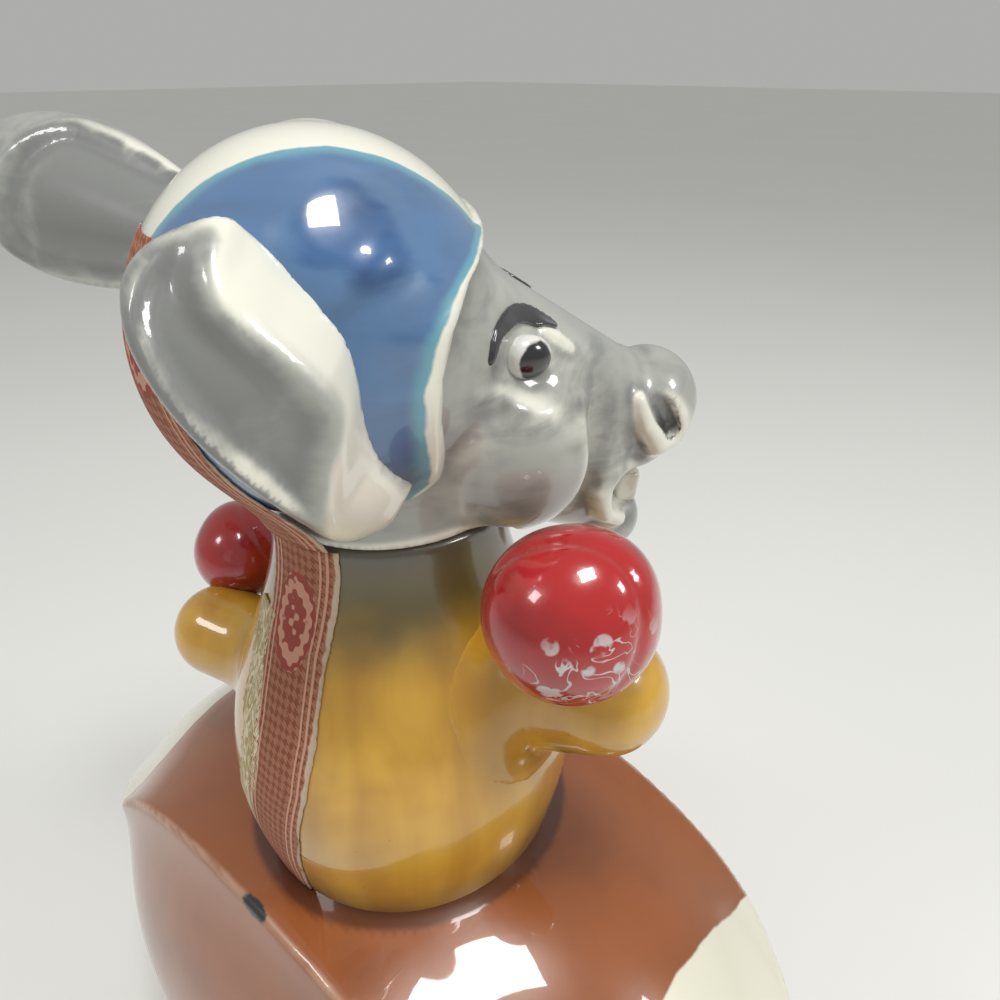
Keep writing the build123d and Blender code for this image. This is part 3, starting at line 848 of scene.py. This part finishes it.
def grey_over(f, base):
    """Sponged grey glaze over a colour: darker in hollows, partly glaze pooling and partly painted shade,
    wiped pale on crests.
    """
    cloud = f.noise(55, 3, 0.6)
    fine = f.noise(170, 3, 0.4)
    brushed = f.noise(1, 3, 1.2, f.stretched(70, 70, 160))
    depth = cloud * 0.95 + fine * 0.35 + brushed * 0.6 - 0.4
    # The sponged mottle is the glaze's own; pit and the stored shade add painted shade in hollows and the
    # ears' cups, pit partly standing for glaze pooling.
    shade = depth + f.stored("pit") * 1.1 + f.stored("shade") - f.stored("crest") * 0.6
    shade = f.step(shade - f.stored("pale") * 0.5, 0.42, 0.95)
    # Painted shade: the deepest pits, such as the nostrils and the mouth, go near black.
    deep = f.step(f.stored("pit") + fine * 0.3, 0.5, 1.1)
    colour = f.mix(shade, base, (0.20, 0.205, 0.195))
    return f.mix(deep, colour, (0.06, 0.06, 0.055))


def grey_glaze(name):
    """The donkey's coat."""
    f = Finish(name, 0.32)
    thin = f.step(f.noise(28, 2) + f.stored("crest") * 0.9 + f.stored("pale"), 0.5, 0.95)
    base = f.mix(thin, (0.38, 0.39, 0.35), CREAM)
    f.wear(Base_Color=grey_over(f, base), Normal=f.bump(f.noise(220, 2), 0.12))
    return f.material


def blue_glaze(name):
    """Cobalt brushed inside cream lines: pale turquoise where it thins at the edge."""
    f = Finish(name, 0.3)
    border = f.stored("panel") + (f.noise(160, 3) - 0.5) * 1.6
    streak = f.noise(1, 4, 0.8, f.stretched(60, 60, 200))
    cloud = f.noise(45, 3, 0.5)
    # Cloud and streak are the brushed cobalt; pit darkens hollows, partly glaze pooling and partly painted
    # shade, and low darkens the helmet towards its hem as painted shade.
    depth = cloud * 1.2 + streak * 0.8 - 0.45 + f.stored("pit") * 0.9 + f.stored("low") * 0.6
    deep = f.step(depth, 0.42, 0.85)
    blue = f.mix(deep, (0.04, 0.12, 0.29), (0.010, 0.036, 0.11))
    # Painted shade: the helmet's lower part is taken darker still.
    blue = f.mix(f.step(f.stored("low"), 0.2, 0.9), blue, (0.018, 0.04, 0.06))
    pale = f.step(streak + f.stored("crest"), 0.62, 0.95) * 0.6
    blue = f.mix(pale, blue, (0.12, 0.23, 0.40))
    edge = f.mix(f.step(border, 0.2, 2.6), (0.13, 0.34, 0.42), blue)
    colour = f.mix(f.step(border, -0.35, 0.25), CREAM, edge)
    f.wear(Base_Color=colour, Normal=f.bump(f.noise(240, 2), 0.1))
    return f.material


def yellow_glaze(name):
    """Mustard glaze that fades through olive to grey towards the neck."""
    f = Finish(name, 0.3)
    cloud = f.noise(30, 3, 0.8)
    streak = f.noise(1, 3, 0.4, f.stretched(120, 120, 14))
    yellow = f.mix(f.step(cloud * 0.6 + streak * 0.4, 0.35, 0.65), (0.66, 0.37, 0.035), (0.46, 0.22, 0.015))
    thin = f.step(f.stored("crest") + streak * 0.2, 0.35, 0.8)
    yellow = f.mix(thin, yellow, (0.80, 0.62, 0.24))
    climb = f.stored("height") + (f.noise(60, 3) - 0.5) * 16
    olive = f.mix(f.step(climb, 163, 178), yellow, (0.13, 0.10, 0.03))
    colour = f.mix(f.step(climb, 176, 190), olive, (0.085, 0.075, 0.05))
    specks = f.step(f.cells(420), 0.09, 0.05) * f.step(f.noise(40), 0.55, 0.6)
    colour = f.mix(specks * 0.7, colour, (0.12, 0.06, 0.02))
    f.wear(Base_Color=colour, Normal=f.bump(f.noise(150, 2), 0.08))
    return f.material


def brown_glaze(name):
    """Caramel glaze, nearly clear over the seams, darker in hollows partly by glaze pooling and partly as
    painted shade, with two cream bands.
    """
    f = Finish(name, 0.3)
    cloud = f.noise(22, 4, 0.6)
    fine = f.noise(130, 3)
    # Cloud and fine noise mottle the glaze; pit darkens hollows and the torso's foot, partly as glaze pooling
    # and partly as painted shade.
    dark = f.step(cloud * 0.7 + fine * 0.2 + f.stored("pit") * 1.2, 0.35, 0.9)
    brown = f.mix(dark, (0.30, 0.085, 0.018), (0.10, 0.022, 0.004))
    thin = f.step(f.stored("seam") + (fine - 0.5) * 0.6, 1.1, 0.15)
    brown = f.mix(thin * 0.7, brown, (0.56, 0.36, 0.25))
    band = f.stored("band") + (f.noise(120, 2) - 0.5) * 1.5
    colour = f.mix(f.step(band, -0.3, 0.3), brown, (0.76, 0.74, 0.60))
    blot = f.step(f.stored("blot") + (f.noise(300, 2) - 0.5) * 2.4, 2.6, 1.9)
    colour = f.mix(blot, colour, (0.01, 0.01, 0.012))
    f.wear(Base_Color=colour, Normal=f.bump(f.noise(90, 3), 0.12))
    return f.material


def red_paint(name, chips):
    """Cold paint over the glaze: it has flaked in small spots and scratches."""
    f = Finish(name, 0.22)
    cloud = f.noise(60, 3)
    red = f.mix(f.step(cloud + f.stored("pit"), 0.4, 0.75), (0.42, 0.008, 0.009), (0.24, 0.004, 0.005))
    spots = f.step(f.cells(210), 0.34, 0.26) * f.step(f.noise(420, 2), 0.42, 0.56)
    worms = f.step((f.noise(150, 2, 1.5) - 0.5).size(), 0.022, 0.008) * f.step(f.noise(90, 2), 0.5, 0.56)
    chipped = (spots.most(worms)) * f.step(f.stored("flaked"), 0.35, 0.75) * chips
    colour = f.mix(chipped, red, (0.55, 0.52, 0.50))
    f.wear(Base_Color=colour, Normal=f.bump(f.noise(200, 2) - chipped * 0.8, 0.2))
    return f.material


def plain_glaze(name, colour, dark):
    """One glaze with a little depth."""
    f = Finish(name, 0.25)
    glaze = f.mix(f.step(f.noise(200, 3), 0.4, 0.7), colour, dark)
    f.wear(Base_Color=glaze, Normal=f.bump(f.noise(500, 2), 0.1))
    return f.material


def eye_glaze(name):
    """A white eyeball with a brushed black pupil."""
    f = Finish(name, 0.2)
    edge = f.stored("pupil") + (f.noise(500, 2) - 0.5) * 0.9
    white = f.mix(f.step(f.noise(260, 2), 0.4, 0.7), (0.76, 0.75, 0.70), (0.50, 0.50, 0.47))
    f.wear(Base_Color=f.mix(f.step(edge, 0.2, -0.2), white, (0.012, 0.012, 0.014)))
    return f.material


def printed_paper(name):
    """Engraved paper: red-brown guilloche between ruled borders, worn pale in places."""
    f = Finish(name, 0.75, 0.0)
    across, along = f.stored("across"), f.stored("along")
    side = across.size()
    ruled = f.step((side - 6.2).size(), 0.35, 0.15).most(f.step((side - 4.9).size(), 0.3, 0.12))
    weave = (along * 7.0 + across * 6.0).wave()
    loops = (along * 3.2).wave() * 0.5 + (across * 4.1).wave() * 0.5 + weave * 0.4
    engraved = f.step(loops + (f.noise(1500, 2) - 0.5) * 1.6, -0.15, 0.25)
    plait = f.step(((along * 2.6).wave() * 0.5 - (side - 5.6)).size(), 0.22, 0.1) * f.step(side, 4.9, 5.0)
    ink = engraved * 0.75 + plait * 0.5
    paper = f.mix(ink, (0.36, 0.15, 0.08), (0.20, 0.03, 0.015))
    paper = f.mix(ruled, paper, (0.58, 0.32, 0.22))
    rise = along - f.stored("rosette_height")
    reach = rise * rise / 80 + across * across / 24
    ring = (reach * 9.0 + (along * 2.2).wave() * (across * 2.2).wave() * 1.2).wave()
    medal = f.step(reach, 1.05, 0.95)
    paper = f.mix(medal, paper, f.mix(f.step(ring, -0.2, 0.3), (0.56, 0.28, 0.19), (0.30, 0.05, 0.035)))
    worn = f.step(f.noise(130, 4) + f.step(side, 6.6, 8.2) * 0.35, 0.66, 0.78)
    paper = f.mix(worn * 0.7, paper, (0.66, 0.56, 0.42))
    f.wear(Base_Color=paper, Normal=f.bump(f.noise(900, 3), 0.3, 0.0002))
    return f.material


def bare_paper(name):
    """The torn backing: pale fibres and old glue."""
    f = Finish(name, 0.8, 0.0)
    fibre = f.noise(1, 4, 1.5, f.stretched(900, 900, 160))
    colour = f.mix(f.step(fibre, 0.4, 0.62), (0.40, 0.30, 0.13), (0.72, 0.65, 0.48))
    f.wear(Base_Color=colour, Normal=f.bump(fibre, 0.6, 0.0004))
    return f.material


def cork_finish(name):
    """Cut natural cork with its dark pores."""
    f = Finish(name, 0.8, 0.0)
    pores = f.step(f.cells(380), 0.2, 0.1) * f.step(f.noise(120), 0.5, 0.56)
    colour = f.mix(f.noise(160, 4), (0.58, 0.38, 0.20), (0.42, 0.25, 0.12))
    f.wear(Base_Color=f.mix(pores, colour, (0.13, 0.06, 0.03)), Normal=f.bump(f.noise(500, 3) - pores, 0.5))
    return f.material


# %% Marks that the glazes read
mark_pits_and_crests(head, head_field, 2.5)
mark_pits_and_crests(helmet, helmet_field, 2.0)
mark_pits_and_crests(near_ear, lambda p: near_ear_form(on_head(p), True), 2.5)
mark_pits_and_crests(far_ear, far_ear_field, 2.5)
# The torso's field is taken in, so pit runs high at the torso's foot and the ball's glaze is darkened there,
# partly as glaze pooling and partly as painted shade.
mark_pits_and_crests(ball, lambda p: np.minimum(ball_field(p), torso_field(p)), 4.0)
mark_pits_and_crests(torso, torso_field, 4.0)
for sleeve, shoulder, elbow, radius in (
    (right_sleeve, RIGHT_SHOULDER, RIGHT_ELBOW, RIGHT_SLEEVE_RADIUS),
    (left_sleeve, LEFT_SHOULDER, LEFT_ELBOW, LEFT_SLEEVE_RADIUS),
):
    mark_pits_and_crests(sleeve, lambda p: armed_bell(p, shoulder, elbow, radius), 2.0)
    paint(sleeve, height=np.full(len(sleeve.data.vertices), 140.0))
for glove, centre, radius in (
    (right_glove, RIGHT_GLOVE, RIGHT_GLOVE_RADIUS), (left_glove, LEFT_GLOVE, LEFT_GLOVE_RADIUS),
):
    spots = places_of(glove)
    facing = (spots - centre) @ np.array((-0.75, 0.45, -0.45)) / radius
    paint(glove, flaked=np.clip(facing, 0, 1), pit=np.zeros(len(spots)))

spots = places_of(torso)
paint(torso, height=spots[:, 2])

CREST_NEAR, CREST_FAR, RIM_WIDTH = 5.8, -14.0, 2.6
h = on_head(places_of(helmet))
front = -front_reach(h) - RIM_WIDTH
crest_side = np.where(h[:, 1] > (CREST_NEAR + CREST_FAR) / 2, h[:, 1] - CREST_NEAR, CREST_FAR - h[:, 1])
crest_side = np.where(h[:, 2] > -6, crest_side, 5.0)
# low rises towards the hem; the cobalt glaze reads it as painted shade on the helmet's lower part.
paint(helmet, panel=np.minimum(np.minimum(front, crest_side), -hem_reach(h) - 0.6), low=ease(2, -12, h[:, 2]))
h = on_head(places_of(near_ear))
behind = -outline_reach(h[:, (0, 2)], EAR_BACK)
# Painted shade: shade darkens the near ear's hollow behind its ridge; pale lightens the glaze in front of it.
paint(near_ear, shade=0.45 * ease(-0.5, 4, behind), pale=0.5 * ease(0.5, -2, behind))
h = on_head(places_of(far_ear))
e = (h - FAR_EAR_ROOT) @ far_axes.T
# Painted shade in the far ear's hollow.
paint(far_ear, shade=0.35 * ease(-1, 4, -outline_reach(e[:, :2], FAR_EAR_PANEL)) * ease(0, 3, e[:, 2]))

BAND_START, BAND_END = 69.0, 87.0
BLOT_PLACE = np.array((-0.8, 43.0, 108.6))
spots = places_of(ball)
b = on_ball(spots)
angle, seam = seam_angles(b)
paint(
    ball,
    band=np.minimum(np.abs(b[:, 0]) - BAND_START, BAND_END - np.abs(b[:, 0])),
    seam=np.degrees(np.abs(angle - seam)) * ball_share(b[:, 0]),
    blot=length((spots - BLOT_PLACE) * (0.45, 1, 1)),
)
for eye, side in ((eyes["right"], 1), (eyes["left"], -1)):
    h = mirrored(on_head(places_of(eye)), side)
    paint(eye, pupil=length((h - EYE_PLACE - np.array((0.9, 2.6, 0.1))) * (1, 0.5, 0.85)) - 2.8)
for strip, rosette in ((strip_low, ROSETTE_LOW), (strip_high, ROSETTE_HIGH)):
    paint(strip, rosette_height=np.full(len(strip.data.vertices), rosette))

# %% Each piece on its body
grey, yellow, paper = grey_glaze("sponged_grey"), yellow_glaze("mustard"), printed_paper("engraved_paper")
white, black = plain_glaze("tooth_white", (0.72, 0.70, 0.60), (0.55, 0.52, 0.42)), plain_glaze(
    "brush_black", (0.015, 0.015, 0.017), (0.04, 0.04, 0.045))
eye_finish = eye_glaze("painted_eye")
pieces = (
    (ball, "bottle", "football_base", "brown_glaze", brown_glaze("caramel")),
    (torso, "bottle", "torso", "yellow_glaze", yellow),
    (right_sleeve, "bottle", "right_sleeve", "yellow_glaze", yellow),
    (left_sleeve, "bottle", "left_sleeve", "yellow_glaze", yellow),
    (right_glove, "bottle", "right_glove", "red_paint", red_paint("chipped_red", 1.0)),
    (left_glove, "bottle", "left_glove", "red_paint", red_paint("whole_red", 0.15)),
    (strip_low, "bottle", "strip_on_torso", "paper", paper),
    (head, "stopper", "head", "grey_glaze", grey),
    (helmet, "stopper", "helmet", "blue_glaze", blue_glaze("cobalt")),
    (near_ear, "stopper", "right_ear", "grey_glaze", grey),
    (far_ear, "stopper", "left_ear", "grey_glaze", grey),
    (eyes["right"], "stopper", "right_eye", "white_glaze", eye_finish),
    (eyes["left"], "stopper", "left_eye", "white_glaze", eye_finish),
    (brows["right"], "stopper", "right_brow", "black_glaze", black),
    (brows["left"], "stopper", "left_brow", "black_glaze", black),
    (teeth, "stopper", "teeth", "white_glaze", white),
    (strip_high, "stopper", "strip_on_helmet", "paper", paper),
)
for piece, body, node, slot, finish in pieces:
    piece.data.materials.append(finish)
    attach(piece, body)
    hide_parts(node)
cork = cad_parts["cork"]
cork.data.materials.clear()
cork.data.materials.append(cork_finish("natural_cork"))
scrap.data.materials.append(bare_paper("torn_backing"))
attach(scrap, "bottle")

# %% Floor and light
FLOOR_REACH = 9.0
FLOOR_CORNERS = ((-1, -1), (1, -1), (1, 1), (-1, 1))
WORLD_STRENGTH = 0.42

floor_mesh = bpy.data.meshes.new("floor")
floor_mesh.from_pydata([(x * FLOOR_REACH, y * FLOOR_REACH, 0) for x, y in FLOOR_CORNERS], [], [(0, 1, 2, 3)])
floor = bpy.data.objects.new("floor", floor_mesh)
bpy.context.scene.collection.objects.link(floor)
table = Finish("pale_table", 0.6, 0.0)
table.wear(Base_Color=table.mix(table.noise(3, 2), (0.84, 0.84, 0.81), (0.88, 0.88, 0.85)))
floor.data.materials.append(table.material)

world = bpy.data.worlds.new("studio")
bpy.context.scene.world = world
world.use_nodes = True
world.node_tree.nodes["Background"].inputs["Color"].default_value = (1.0, 1.0, 0.97, 1)
world.node_tree.nodes["Background"].inputs["Strength"].default_value = WORLD_STRENGTH

LAMPS = (
    ("softbox", (-0.2, 0.1, 0.95), 0.24, 4.0),
    ("window", (-0.75, -0.35, 0.75), 0.22, 2.6),
    ("fill", (0.35, 0.8, 0.9), 0.22, 1.6),
)
for name, place, size, power in LAMPS:
    lamp_data = bpy.data.lights.new(name, "AREA")
    lamp_data.size = size
    lamp_data.energy = power
    lamp = bpy.data.objects.new(name, lamp_data)
    bpy.context.scene.collection.objects.link(lamp)
    lamp.location = place
    lamp.rotation_euler = (Vector((0, 0, 0.15)) - Vector(place)).to_track_quat("-Z", "Y").to_euler()

bpy.context.scene.view_settings.view_transform = "Standard"
